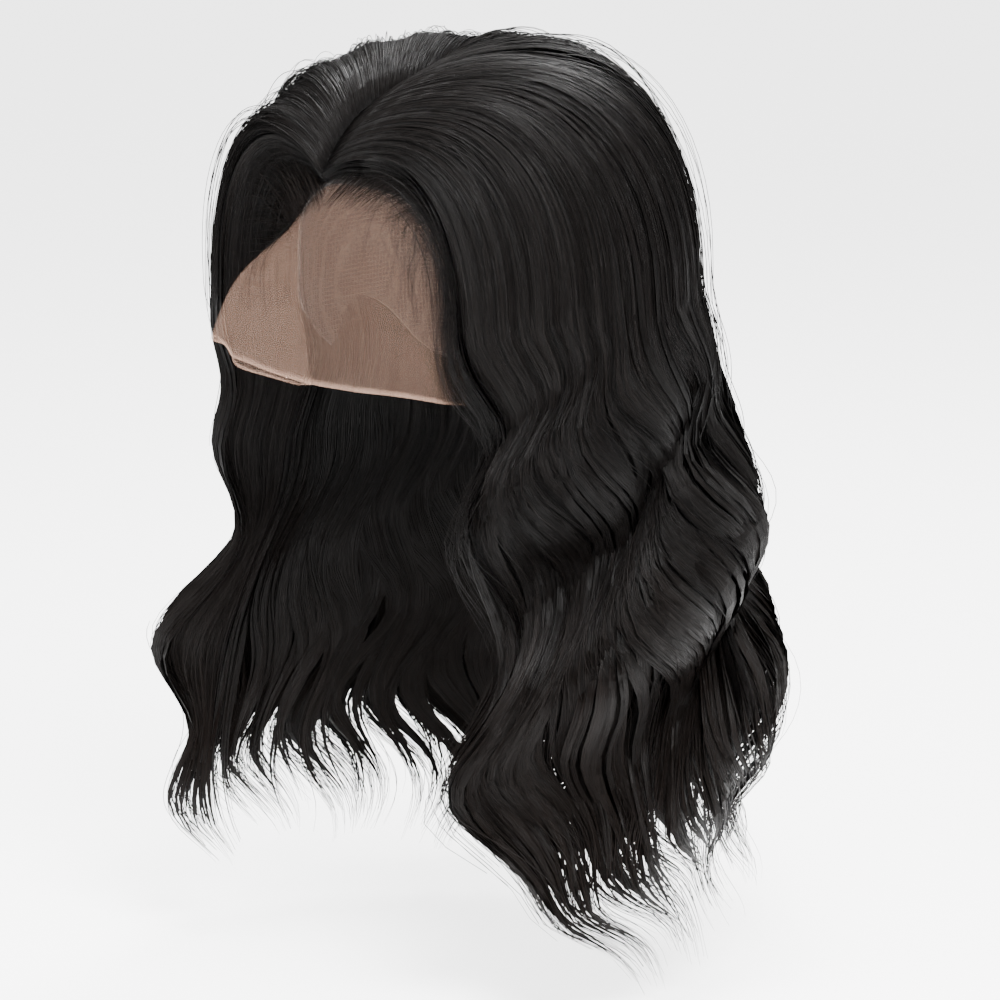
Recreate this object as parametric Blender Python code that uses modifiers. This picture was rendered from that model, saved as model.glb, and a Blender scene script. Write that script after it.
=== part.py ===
"""A lace front wig, parted right of the middle, with long body waves.

A net cap carries sixteen thick locks of hair, and a sheer lace panel hangs from the cap's hairline.
Metres, +Z up. The wig is worn facing -Y, and the wearer's left is +X. The origin is the top of the
inside of the cap. Sizes and tables below are in millimetres and degrees.
"""

import math

import bmesh
import bpy
import numpy as np

MM = 0.001

# The inside of the cap: a rounded dome, widest at the temples and drawn in to the nape
CAP_HALF_WIDTH = 76.0
CAP_HALF_LENGTH = 96.0
CAP_RISE = 107.0
CAP_SQUARENESS = 2.4
CAP_WALL = 1.2
WIDEST_Z = -CAP_RISE
NAPE_Z = -165.0
NAPE_SHARE = 0.95

# The part runs back from the hairline, right of its middle, to the crown
PART_FRONT = (-22.0, -80.0)
PART_BACK = (-36.0, 30.0)
PART_LEAN = 0.6
HAIRLINE_BOW = 5.0

# The bearing that the part points to, at which the left and the right locks meet
CROWN_TURN = -27.0

# Rows and columns: down the dome, down the cap's skirt, down the hair, and across a lock
DOME_ROWS = 7
SKIRT_ROWS = 3
FALL_STEP = 14.0
COLUMNS_A_LOCK = 2

# How the locks sit on the cap and beside each other, and how high the hair is lifted at the crown
HAIR_GAP = 0.7
LOCK_GAP = 0.8
NARROWEST_LOCK = 4.0
PART_HEIGHT = 5.0
CROWN_LIFT = 42.0
LIFT_FLATNESS = 0.8
LEFT_FRONT_DROP = 0.45
RIGHT_FRONT_DROP = 0.20

# Where the hair leaves the cap's side, and over what height it stands away
FREE_Z = -135.0
FREE_RUN = 60.0

# A lock narrows to its tip: from where down the lock, over how much of it, and by how much
TIP_START = 0.74
TIP_RUN = 0.42
TIP_TAPER = 0.70

# The body wave: its length down the hair, the height of a crest at the back, how much lower the
# crest is for each degree round, and how much calmer the wave is from some share to the front edge
WAVE_LENGTH = 112.0
WAVE_CREST_BACK = -159.0
WAVE_LAG_LEFT = 1.44
WAVE_LAG_RIGHT = 0.48
CALM_FROM = 0.7
EDGE_CALM = 0.5

# Lowest point of the cap, by how far round it is from the back to the hairline's end
CAP_RIM = {
    "round":  [0.00, 0.30, 0.48, 0.62, 0.72, 0.80, 0.90, 1.00],
    "rim_z":  [-165, -163, -148, -122, -116, -124, -140, -116],
}

# Outer surface of the hair, a row for each level: its radius at seven bearings from the back
# (right is negative), how thick it is, how far it swings, and the bearing of its two front edges
BEARINGS = [-125, -90, -45, 0, 45, 90, 130]
LEVELS = {
    "z":           [-107, -135, -180, -220, -260, -300, -340, -375, -410, -440, -475],
    "right_front": [ 134,  137,  135,  140,  153,  164,  171,  172,  164,  153,  144],
    "right_side":  [ 116,  122,  128,  134,  144,  153,  158,  158,  154,  148,  143],
    "right_back":  [ 124,  130,  138,  146,  152,  155,  154,  152,  149,  146,  143],
    "back":        [ 130,  136,  140,  143,  146,  148,  150,  150,  149,  147,  145],
    "left_back":   [ 124,  134,  144,  155,  163,  166,  165,  160,  156,  160,  166],
    "left_side":   [ 116,  122,  130,  139,  148,  154,  158,  159,  157,  152,  146],
    "left_front":  [ 114,  118,  122,  125,  127,  130,  136,  143,  148,  146,  138],
    "thickness":   [  38,   38,   38,   37,   36,   34,   32,   30,   27,   22,   14],
    "swing":       [   0,    3,    8,   13,   18,   21,   22,   20,   16,   12,    9],
    "bulge":       [   0,    1,    4,    6,    7,    7,    7,    6,    5,    4,    3],
    "right_edge":  [ 134,  126,  123,  123,  125,  127,  127,  126,  125,  122,  118],
    "left_edge":   [ 141,  137,  133,  131,  131,  132,  138,  135,  123,  108,   97],
}

# The sixteen locks, from the right front edge round the back to the left front edge: where each
# starts and ends in shares of the way to the cap's front edge, how low its tip hangs, how far it
# stands proud of the others, and how far its tip flicks round
LOCKS = [
    # name,                from,  to,    tip_z, proud, flick
    ("right_front_lock",   -0.98, -0.87, -438,   1.0,   2),
    ("right_cheek_lock",   -0.87, -0.74, -424,  -2.0,   4),
    ("right_ear_lock",     -0.74, -0.61, -434,   2.0,  -3),
    ("right_side_lock",    -0.61, -0.49, -442,  -1.0,   3),
    ("right_shoulder_lock", -0.49, -0.37, -438,  2.0,  -4),
    ("right_rear_lock",    -0.37, -0.25, -448,  -1.5,   2),
    ("right_back_lock",    -0.25, -0.12, -454,   1.5,  -3),
    ("right_spine_lock",   -0.12,  0.00, -460,  -1.0,   3),
    ("left_spine_lock",     0.00,  0.12, -456,   1.5,  -2),
    ("left_back_lock",      0.12,  0.25, -450,  -1.5,   0),
    ("left_rear_lock",      0.25,  0.37, -440,   3.0,  -3),
    ("left_shoulder_lock",  0.37,  0.49, -430,  -3.0,  -5),
    ("left_side_lock",      0.49,  0.61, -434,   2.0,  -5),
    ("left_ear_lock",       0.61,  0.74, -442,  -1.5,   3),
    ("left_cheek_lock",     0.74,  0.87, -456,   1.5,   4),
    ("left_front_lock",     0.87,  0.98, -466,  -0.5,   2),
]

# The cross-section of a lock: how far each corner is across it, and how deep, from 0 on the
# inside to 1 on the outside. The free side of the two front locks thins out to the hairline
SECTION = {
    "across": [-1.00, 0.00, 1.00, 1.00, 0.60, 0.00, -0.60, -1.00],
    "depth":  [0.00, 0.00, 0.00, 0.80, 0.94, 1.00, 0.94, 0.80],
    "thin":   [0.00, 0.00, 0.00, 0.12, 0.62, 0.92, 1.00, 0.82],
}

# The lace: its wall and grid, and its free edge, from under the hair at the right temple round the
# front to the left temple
LACE_WALL = 1.0
LACE_COLUMNS = 40
LACE_ROWS = 8
LACE_EDGE = {
    "along": [-1.00, -0.86, -0.74, -0.62, -0.50, -0.34, -0.17, 0.00, 0.22, 0.45, 0.66, 0.84, 1.00],
    "x":     [-66.0, -77.0, -89.0, -92.0, -85.0, -64.0, -37.0, -8.0, 22.0, 46.0, 61.0, 64.0, 62.0],
    "y":     [-54.0, -64.0, -82.0, -97.0, -102., -108., -112., -114., -111., -102., -89., -76., -65.],
    "z":     [-158., -157., -147., -130., -131., -136., -139., -141., -142., -143., -146., -150., -152.],
}

# How far the lace bellies out and creases, over how many degrees and below what height it tucks in
# under the hair, how fast it draws in there, and how much of its top is the hairline
LACE_BULGE = 6.0
LACE_CREASE = 2.2
LACE_CREASES = 5
LACE_TUCK = 9.0
TUCK_Z = -118.0
TUCK_RUN = 10.0
LACE_DRAW_IN = 0.06
HAIRLINE_SHARE = 0.9

# The gap between the lace and the cap at the seam
SEAM_GAP = 0.5


def smooth(at, xs, ys):
    """A cubic curve through the points of a table, level beyond its ends."""
    xs = np.asarray(xs, float)
    ys = np.asarray(ys, float)
    at = np.clip(np.asarray(at, float), xs[0], xs[-1])
    slopes = np.gradient(ys, xs)
    i = np.clip(np.searchsorted(xs, at, side="right") - 1, 0, len(xs) - 2)
    step = xs[i + 1] - xs[i]
    u = (at - xs[i]) / step
    rise = ys[i] * (1 + 2 * u) * (1 - u) ** 2 + ys[i + 1] * u * u * (3 - 2 * u)
    return rise + step * (slopes[i] * u * (1 - u) ** 2 - slopes[i + 1] * u * u * (1 - u))


def level(column, z):
    """One column of the table of levels, at a height."""
    return smooth(-z, [-value for value in LEVELS["z"]], LEVELS[column])


def ease(u):
    """0 to 1, level at both ends."""
    u = np.clip(u, 0.0, 1.0)
    return u * u * (3 - 2 * u)


def point(radius, bearing, z):
    """A point at a radius and a bearing from the back, in degrees, about the vertical axis."""
    angle = math.radians(bearing)
    return np.array([radius * math.sin(angle), radius * math.cos(angle), z])


def cap_radius(bearing):
    """The plan radius of the inside of the cap at its widest level."""
    angle = math.radians(bearing)
    across = abs(math.sin(angle) / CAP_HALF_WIDTH) ** CAP_SQUARENESS
    along = abs(math.cos(angle) / CAP_HALF_LENGTH) ** CAP_SQUARENESS
    return (across + along) ** (-1 / CAP_SQUARENESS)


def cap_height(x, y):
    """The height of the inside of the cap over a plan point."""
    across = abs(x / CAP_HALF_WIDTH) ** CAP_SQUARENESS
    along = abs(y / CAP_HALF_LENGTH) ** CAP_SQUARENESS
    left = max(0.0, 1 - across - along)
    return WIDEST_Z + CAP_RISE * left ** (1 / CAP_SQUARENESS)


def bearing_of(share, z):
    """The bearing at a share of the way from the crown's bearing (0) to the right (-1) or left (1)
    front edge."""
    edge = level("left_edge" if share > 0 else "right_edge", z)
    return float(share * edge + CROWN_TURN * (1 - abs(share)))


def part_plan(share):
    """Where on the part the hair of a share is rooted: the crown for the back, the hairline for 1."""
    front, back = np.array(PART_FRONT), np.array(PART_BACK)
    return back + (front - back) * abs(share) ** PART_LEAN


def dome_plan(share, turn):
    """Plan point on the dome, from the part (turn 0) down to its widest level (turn 1)."""
    bearing = bearing_of(share, WIDEST_Z)
    end = point(cap_radius(bearing), bearing, 0)[:2]
    start = part_plan(share)
    reach = math.sin(turn * math.pi / 2)
    plan = start + (end - start) * reach
    plan[1] -= HAIRLINE_BOW * math.sin(math.pi * reach) * abs(share) ** 6
    return plan


def skirt_radius(bearing, z):
    """The cap's inside radius below its widest level, drawn in to the nape."""
    share = ease((WIDEST_Z - z) / (WIDEST_Z - NAPE_Z))
    return cap_radius(bearing) * (1 + (NAPE_SHARE - 1) * share)


def rim_z(share):
    """The height of the cap's lower edge, by how far round it stands from the back to the front."""
    edge = level("left_edge" if share > 0 else "right_edge", WIDEST_Z)
    round_the_cap = abs(bearing_of(share, WIDEST_Z)) / edge
    return float(smooth(round_the_cap, CAP_RIM["round"], CAP_RIM["rim_z"]))


def inside_cap(share, turn, z=WIDEST_Z):
    """A point inside the cap: on its dome for turn under 1, and else on its side at a height."""
    if turn < 1:
        x, y = dome_plan(share, turn)
        return np.array([x, y, cap_height(x, y)])
    bearing = bearing_of(share, z)
    return point(skirt_radius(bearing, z), bearing, z)


def out_of_cap(at):
    """The direction straight out of the cap at a point."""
    power = CAP_SQUARENESS - 1
    sizes = np.array([CAP_HALF_WIDTH, CAP_HALF_LENGTH, CAP_RISE])
    local = (at - np.array([0, 0, WIDEST_Z])) / sizes
    local[2] = max(local[2], 0.0)
    normal = np.sign(local) * np.abs(local) ** power / sizes
    return normal / np.linalg.norm(normal)


def cap_surface(share, turn, z=WIDEST_Z, out=0.0):
    """A point at a distance out from the inside of the cap."""
    at = inside_cap(share, turn, z)
    return at + out_of_cap(at) * out


def hair_radius(bearing, z):
    """The hair's outer radius before its waves."""
    names = ["right_front", "right_side", "right_back", "back", "left_back", "left_side", "left_front"]
    return float(smooth(bearing, BEARINGS, [float(level(name, z)) for name in names]))


def wave(bearing, z):
    """The swing round and the bulge out of the body wave, in millimetres."""
    lag = WAVE_LAG_LEFT if bearing > 0 else WAVE_LAG_RIGHT
    phase = 2 * math.pi * (z - WAVE_CREST_BACK + lag * abs(bearing)) / WAVE_LENGTH
    return level("swing", z) * math.cos(phase), level("bulge", z) * math.sin(phase)


def hair_dome(share, turn, depth, proud):
    """A point in the hair over the cap, from the part down to the widest level."""
    inner = cap_surface(share, turn, out=CAP_WALL + HAIR_GAP)
    root = cap_surface(share, 0.0, out=CAP_WALL + HAIR_GAP + PART_HEIGHT)
    bearing = bearing_of(share, WIDEST_Z)
    end = point(hair_radius(bearing, WIDEST_Z) + proud, bearing, WIDEST_Z)
    angle = turn * math.pi / 2
    outer = root + (end - root) * np.array([math.sin(angle), math.sin(angle), 1 - math.cos(angle)])
    drop = (LEFT_FRONT_DROP if share > 0 else RIGHT_FRONT_DROP) * abs(share) ** 4
    outer[2] += (CROWN_LIFT + proud) * math.sin(2 * angle) ** LIFT_FLATNESS * (1 - drop)
    return inner + (outer - inner) * depth


def inner_radius(bearing, z, outer):
    """The radius of the hair's inner surface: on the cap, and standing free below it."""
    on_cap = skirt_radius(bearing, z) + CAP_WALL + HAIR_GAP
    free = outer - float(level("thickness", z))
    return on_cap + (max(free, on_cap) - on_cap) * ease((FREE_Z - z) / FREE_RUN)


def hair_fall(share, z, depth, proud, flick):
    """A point in the hair below the widest level, waves and all."""
    bearing = bearing_of(share, z)
    outer = hair_radius(bearing, z)
    swing, bulge = wave(bearing, z)
    swing *= 1 - EDGE_CALM * ease((abs(share) - CALM_FROM) / (1 - CALM_FROM))
    turned = bearing + flick + math.degrees(swing / outer)
    inner = inner_radius(turned, z, outer)
    radius = inner + (outer + proud + bulge - inner) * depth
    return point(radius, turned, z)


def new_object(name, points, faces, material, smooth_angle=40):
    """A mesh object in the wig's collection, its size turned from millimetres to metres."""
    mesh = bpy.data.meshes.new(name)
    mesh.from_pydata((np.asarray(points) * MM).tolist(), [], faces)
    mesh.update()
    obj = bpy.data.objects.new(name, mesh)
    wig.objects.link(obj)
    obj.data.materials.append(material)
    mesh.shade_smooth()
    mesh.set_sharp_from_angle(angle=math.radians(smooth_angle))
    return obj


def recalculate(obj):
    """Welds doubled points and turns every face outwards."""
    work = bmesh.new()
    work.from_mesh(obj.data)
    bmesh.ops.remove_doubles(work, verts=work.verts, dist=0.00001)
    bmesh.ops.recalc_face_normals(work, faces=work.faces)
    work.to_mesh(obj.data)
    work.free()


def finish(name, colour, roughness, alpha=1.0):
    """A plain material."""
    material = bpy.data.materials.new(name)
    material.use_nodes = True
    shader = material.node_tree.nodes["Principled BSDF"]
    shader.inputs["Base Color"].default_value = (*colour, 1)
    shader.inputs["Roughness"].default_value = roughness
    shader.inputs["Alpha"].default_value = alpha
    material.diffuse_color = (*colour, alpha)
    return material


def grid_faces(rows, columns):
    """Quads over a grid of points that is stored row by row."""
    return [
        (r * columns + c, r * columns + c + 1, (r + 1) * columns + c + 1, (r + 1) * columns + c)
        for r in range(rows - 1)
        for c in range(columns - 1)
    ]


def lock_shares():
    """The shares where the cap's columns stand: at each side of a lock and evenly between, and at
    the cap's own front edges."""
    shares = []
    for _, start, stop, *_ in LOCKS:
        shares += [start + (stop - start) * (k + 1) / COLUMNS_A_LOCK for k in range(COLUMNS_A_LOCK)]
    return [-1.0, *shares[:-1], 1.0]


def build_cap(material):
    """The net cap: an open dome down to its rim, given a wall."""
    shares = lock_shares()
    points = []
    for row in range(DOME_ROWS):
        points += [cap_surface(share, row / DOME_ROWS) for share in shares]
    for row in range(SKIRT_ROWS + 1):
        down = row / SKIRT_ROWS
        points += [
            cap_surface(share, 1, WIDEST_Z + (rim_z(share) - WIDEST_Z) * down) for share in shares
        ]
    faces = grid_faces(DOME_ROWS + SKIRT_ROWS + 1, len(shares))
    cap = new_object("wig_cap", points, faces, material)
    recalculate(cap)
    wall = cap.modifiers.new("wall", "SOLIDIFY")
    wall.thickness = CAP_WALL * MM
    wall.offset = 1
    wall.use_even_offset = True
    return cap


def fall_stations(tip_z):
    """Heights down a lock: the same for every lock, so that neighbours match, and then its tip."""
    count = int((WIDEST_Z - tip_z) / FALL_STEP - 0.4)
    return [WIDEST_Z - k * FALL_STEP for k in range(count + 1)] + [tip_z]


def lock_section(is_first, is_last):
    """The corners of a lock's cross-section, thinned on its free side where it has one."""
    across = np.array(SECTION["across"])
    if is_last:
        return across, np.array(SECTION["thin"])
    if is_first:
        return -across[::-1], np.array(SECTION["thin"])[::-1]
    return across, np.array(SECTION["depth"])


def loft_faces(rows, across, depth):
    """Faces round a lock and over its ends. A side wall is split from its inner edge down to its
    outer edge, so that the walls of two neighbours bend alike."""
    corners = len(across)
    faces = [tuple(range(corners)), tuple(range((rows - 1) * corners, rows * corners))]
    for r in range(rows - 1):
        for c in range(corners):
            after = (c + 1) % corners
            near, far = r * corners + c, r * corners + after
            low_near, low_far = near + corners, far + corners
            if across[c] != across[after]:
                faces.append((near, far, low_far, low_near))
            elif depth[c] < depth[after]:
                faces += [(near, far, low_far), (near, low_far, low_near)]
            else:
                faces += [(near, far, low_near), (far, low_far, low_near)]
    return faces


def build_lock(row, material, is_first, is_last):
    """One lock: its cross-section carried from the part over the cap and down to its tip."""
    name, start, stop, tip_z, proud, flick = row
    middle = (start + stop) / 2
    half = (stop - start) / 2
    across, depth = lock_section(is_first, is_last)
    loops = []
    for k in range(DOME_ROWS):
        width = trimmed(half, middle, k / DOME_ROWS)
        turn = max(k / DOME_ROWS, LOCK_GAP / 2 / CAP_HALF_WIDTH)
        loops.append(
            [
                hair_dome(middle + a * width, turn, d, proud * (1 - a * a))
                for a, d in zip(across, depth)
            ]
        )
    for z in fall_stations(tip_z):
        tip = ease(((WIDEST_Z - z) / (WIDEST_Z - tip_z) - TIP_START) / TIP_RUN)
        narrow = 1 - TIP_TAPER * tip
        width = trimmed(half, middle, 1) * narrow
        turned = flick * tip
        loops.append(
            [
                hair_fall(middle + a * width, z, 0.5 + (d - 0.5) * narrow, proud * (1 - a * a), turned)
                for a, d in zip(across, depth)
            ]
        )
    points = [corner for loop in loops for corner in loop]
    lock = new_object(name, points, loft_faces(len(loops), across, depth), material)
    recalculate(lock)
    return lock


def trimmed(half, middle, turn):
    """Half a lock's share, less half the gap to its neighbour at that place on the cap."""
    width = float(np.linalg.norm(inside_cap(middle + half, turn) - inside_cap(middle - half, turn)))
    return half * (1 - LOCK_GAP / max(width, NARROWEST_LOCK))


def seam_point(side, turn, z=WIDEST_Z):
    """A point just off the cap's front edge, at the middle of its wall."""
    edge = cap_surface(side, turn, z, out=CAP_WALL / 2)
    ahead = cap_surface(1.01 * side, turn, z, out=CAP_WALL / 2) - edge
    return edge + ahead / np.linalg.norm(ahead) * SEAM_GAP


def hairline_point(along):
    """A point of the lace's seam: along 0 is the part, 1 the left ear tab and -1 the right. Over
    the dome it lies on straight runs between the cap's rows, as the cap's own edge does."""
    side = 1 if along >= 0 else -1
    reach = abs(along) / HAIRLINE_SHARE
    if reach < 1:
        row = int(reach * DOME_ROWS)
        start = seam_point(side, row / DOME_ROWS)
        stop = seam_point(side, (row + 1) / DOME_ROWS)
        return start + (stop - start) * (reach * DOME_ROWS - row)
    down = (abs(along) - HAIRLINE_SHARE) / (1 - HAIRLINE_SHARE)
    return seam_point(side, 1, WIDEST_Z + (rim_z(1) - WIDEST_Z) * down)


def tucked(at):
    """Draws a point of the lace in under the hair, where the hair hangs in front of it."""
    bearing = math.degrees(math.atan2(at[0], at[1]))
    edge = float(level("left_edge" if bearing > 0 else "right_edge", at[2]))
    below = max(0.0, TUCK_Z - at[2])
    under = ease((edge + LACE_TUCK - abs(bearing)) / LACE_TUCK) * ease(below / TUCK_RUN)
    radius = math.hypot(at[0], at[1])
    most = skirt_radius(bearing, at[2]) + CAP_WALL / 2 - LACE_DRAW_IN * below
    return point(radius + (min(radius, most) - radius) * under, bearing, at[2])


def build_lace(material):
    """The lace: from the cap's front edge down to its free edge, with soft creases at the right."""
    points = []
    for row in range(LACE_ROWS + 1):
        down = row / LACE_ROWS
        for column in range(LACE_COLUMNS + 1):
            along = -1 + 2 * column / LACE_COLUMNS
            top = hairline_point(along)
            low = np.array([float(smooth(along, LACE_EDGE["along"], LACE_EDGE[axis])) for axis in "xyz"])
            at = top + (low - top) * down
            forward = np.array([at[0] / CAP_HALF_WIDTH, at[1] / CAP_HALF_LENGTH, 0])
            forward /= np.linalg.norm(forward)
            crease = math.sin(2 * math.pi * LACE_CREASES * along) * down * ease((-along - 0.1) / 0.4)
            belly = math.sin(math.pi * down) * ease((0.8 - abs(along)) / 0.4)
            points.append(tucked(at + forward * (LACE_CREASE * crease + LACE_BULGE * belly)))
    lace = new_object("lace_front", points, grid_faces(LACE_ROWS + 1, LACE_COLUMNS + 1), material)
    recalculate(lace)
    wall = lace.modifiers.new("wall", "SOLIDIFY")
    wall.thickness = LACE_WALL * MM
    wall.offset = 0
    return lace


for old in list(bpy.data.objects):
    bpy.data.objects.remove(old)

wig = bpy.data.collections.new("lace_front_wig")
bpy.context.scene.collection.children.link(wig)

hair_black = finish("hair_black", (0.012, 0.010, 0.010), 0.38)
cap_net = finish("cap_net", (0.03, 0.024, 0.022), 0.8)
lace_beige = finish("lace_beige", (0.55, 0.42, 0.34), 0.6, alpha=0.35)

build_cap(cap_net)
build_lace(lace_beige)
for number, lock_row in enumerate(LOCKS):
    build_lock(lock_row, hair_black, number == 0, number == len(LOCKS) - 1)
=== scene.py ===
# %% [markdown]
# # A lace front wig with body waves
#
# The wig is long black hair tied to a net cap, parted right of the middle, with a sheer lace panel
# that hangs from its hairline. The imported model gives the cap, the lace and sixteen thick locks.
# This lesson dresses them. Each lock becomes a grooved body under some fifty flat wisps and two
# hundred single hairs, all along the lock's own form, and the lace becomes a net that lets light
# through. Blender's hair curves could grow such hair too, but a modelled wisp keeps its form in
# every program that opens the part.

import math

import bpy
import numpy as np
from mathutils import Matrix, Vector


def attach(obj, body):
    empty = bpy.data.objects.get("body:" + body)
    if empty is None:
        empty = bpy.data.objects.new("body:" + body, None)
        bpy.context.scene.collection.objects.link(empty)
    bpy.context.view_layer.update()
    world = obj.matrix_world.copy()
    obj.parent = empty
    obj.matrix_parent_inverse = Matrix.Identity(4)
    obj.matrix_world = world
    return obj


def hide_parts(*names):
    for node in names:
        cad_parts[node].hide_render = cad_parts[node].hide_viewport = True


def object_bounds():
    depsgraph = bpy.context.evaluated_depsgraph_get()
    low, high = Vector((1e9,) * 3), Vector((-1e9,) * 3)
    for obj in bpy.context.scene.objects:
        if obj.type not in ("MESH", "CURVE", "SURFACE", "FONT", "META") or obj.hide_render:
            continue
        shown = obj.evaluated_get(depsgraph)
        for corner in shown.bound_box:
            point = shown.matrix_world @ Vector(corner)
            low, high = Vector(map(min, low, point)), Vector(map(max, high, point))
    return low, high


MM = 0.001
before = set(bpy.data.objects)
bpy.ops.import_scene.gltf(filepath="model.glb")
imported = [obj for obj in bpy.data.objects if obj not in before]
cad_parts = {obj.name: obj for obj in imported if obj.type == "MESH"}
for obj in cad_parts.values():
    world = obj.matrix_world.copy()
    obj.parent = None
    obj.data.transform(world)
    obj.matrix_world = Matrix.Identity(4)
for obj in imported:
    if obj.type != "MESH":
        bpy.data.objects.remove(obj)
cad_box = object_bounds()
print("CAD box in mm:", [[round(float(v) / MM) for v in corner] for corner in cad_box])

# %% [markdown]
# ## The camera
#
# The photograph looks at the wig from its left front, a little from above. The camera stands at
# that angle, far away with a long lens, because the picture has hardly any perspective. It aims at
# the point that lies in the middle of the photograph.

# %% Camera
PHOTO_PIXELS = 1000
MM_A_PIXEL = 0.53
VIEW_AZIMUTH = math.radians(43)
VIEW_ELEVATION = math.radians(12)
CAMERA_DISTANCE = 2800.0
SENSOR = 36.0
ORIGIN_PIXEL = (466, 94)

to_camera = np.array(
    [
        math.sin(VIEW_AZIMUTH) * math.cos(VIEW_ELEVATION),
        -math.cos(VIEW_AZIMUTH) * math.cos(VIEW_ELEVATION),
        math.sin(VIEW_ELEVATION),
    ]
)
picture_right = np.array([math.cos(VIEW_AZIMUTH), math.sin(VIEW_AZIMUTH), 0])
picture_up = np.cross(to_camera, picture_right)
half_picture = PHOTO_PIXELS / 2
aim = picture_right * (half_picture - ORIGIN_PIXEL[0]) * MM_A_PIXEL
aim = aim + picture_up * (ORIGIN_PIXEL[1] - half_picture) * MM_A_PIXEL

camera = bpy.data.objects.new("camera", bpy.data.cameras.new("camera"))
bpy.context.scene.collection.objects.link(camera)
camera.data.sensor_width = SENSOR
camera.data.lens = SENSOR * CAMERA_DISTANCE / (PHOTO_PIXELS * MM_A_PIXEL)
camera.location = (aim + to_camera * CAMERA_DISTANCE) * MM
camera.rotation_euler = (math.pi / 2 - VIEW_ELEVATION, 0, VIEW_AZIMUTH)
bpy.context.scene.camera = camera
print("camera lens", round(camera.data.lens), "mm")

# %% [markdown]
# ## The form of the hair, as numbers
#
# Every piece of hair has a place in the same three coordinates as the solids. Share is how far
# round the cap the hair belongs: 0 is the back, 1 the left front edge and -1 the right one. Down
# runs from the root to the tip, and depth from the inside of the hair (0) to its outside (1). The
# tables are the ones that shape the solids, so hair made from them keeps close to those forms.

# %% Tables that shape the cap and the hair, in millimetres and degrees
CAP_HALF_WIDTH = 76.0
CAP_HALF_LENGTH = 96.0
CAP_RISE = 107.0
CAP_SQUARENESS = 2.4
CAP_WALL = 1.2
WIDEST_Z = -CAP_RISE
NAPE_Z = -165.0
NAPE_SHARE = 0.95
PART_FRONT = np.array([-22.0, -80.0])
PART_BACK = np.array([-36.0, 30.0])
PART_LEAN = 0.6
HAIRLINE_BOW = 5.0
BOW_POWER = 6
DROP_POWER = 4
CROWN_TURN = -27.0
HAIR_GAP = 0.7
PART_HEIGHT = 5.0
CROWN_LIFT = 42.0
LIFT_FLATNESS = 0.8
LEFT_FRONT_DROP = 0.45
RIGHT_FRONT_DROP = 0.20
FREE_Z = -135.0
FREE_RUN = 60.0

BEARINGS = [-125, -90, -45, 0, 45, 90, 130]
COLUMNS = ["right_front", "right_side", "right_back", "back", "left_back", "left_side", "left_front"]
LEVELS = {
    "z":           [-107, -135, -180, -220, -260, -300, -340, -375, -410, -440, -475],
    "right_front": [ 134,  137,  135,  140,  153,  164,  171,  172,  164,  153,  144],
    "right_side":  [ 116,  122,  128,  134,  144,  153,  158,  158,  154,  148,  143],
    "right_back":  [ 124,  130,  138,  146,  152,  155,  154,  152,  149,  146,  143],
    "back":        [ 130,  136,  140,  143,  146,  148,  150,  150,  149,  147,  145],
    "left_back":   [ 124,  134,  144,  155,  163,  166,  165,  160,  156,  160,  166],
    "left_side":   [ 116,  122,  130,  139,  148,  154,  158,  159,  157,  152,  146],
    "left_front":  [ 114,  118,  122,  125,  127,  130,  136,  143,  148,  146,  138],
    "thickness":   [  38,   38,   38,   37,   36,   34,   32,   30,   27,   22,   14],
    "swing":       [   0,    3,    8,   13,   18,   21,   22,   20,   16,   12,    9],
    "bulge":       [   0,    1,    4,    6,    7,    7,    7,    6,    5,    4,    3],
    "right_edge":  [ 134,  126,  123,  123,  125,  127,  127,  126,  125,  122,  118],
    "left_edge":   [ 141,  137,  133,  131,  131,  132,  138,  135,  123,  108,   97],
}
LOCKS = [
    # name,                from,  to,    tip_z, proud, flick
    ("right_front_lock",   -0.98, -0.87, -438,   1.0,   2),
    ("right_cheek_lock",   -0.87, -0.74, -424,  -2.0,   4),
    ("right_ear_lock",     -0.74, -0.61, -434,   2.0,  -3),
    ("right_side_lock",    -0.61, -0.49, -442,  -1.0,   3),
    ("right_shoulder_lock", -0.49, -0.37, -438,  2.0,  -4),
    ("right_rear_lock",    -0.37, -0.25, -448,  -1.5,   2),
    ("right_back_lock",    -0.25, -0.12, -454,   1.5,  -3),
    ("right_spine_lock",   -0.12,  0.00, -460,  -1.0,   3),
    ("left_spine_lock",     0.00,  0.12, -456,   1.5,  -2),
    ("left_back_lock",      0.12,  0.25, -450,  -1.5,   0),
    ("left_rear_lock",      0.25,  0.37, -440,   3.0,  -3),
    ("left_shoulder_lock",  0.37,  0.49, -430,  -3.0,  -5),
    ("left_side_lock",      0.49,  0.61, -434,   2.0,  -5),
    ("left_ear_lock",       0.61,  0.74, -442,  -1.5,   3),
    ("left_cheek_lock",     0.74,  0.87, -456,   1.5,   4),
    ("left_front_lock",     0.87,  0.98, -466,  -0.5,   2),
]
print(len(LOCKS), "locks, down to", min(row[3] for row in LOCKS), "mm")

# %% [markdown]
# ## The surfaces that hair lies on
#
# The cap is a rounded dome with a short skirt, and the hair fills the space between it and an outer
# form. That form is a smooth curve through the tables. A point of hair could be found by shooting
# rays at the solids, but here it is worked out straight from its share, its way down and its depth,
# so a thousand paths cost no more than one.

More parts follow.
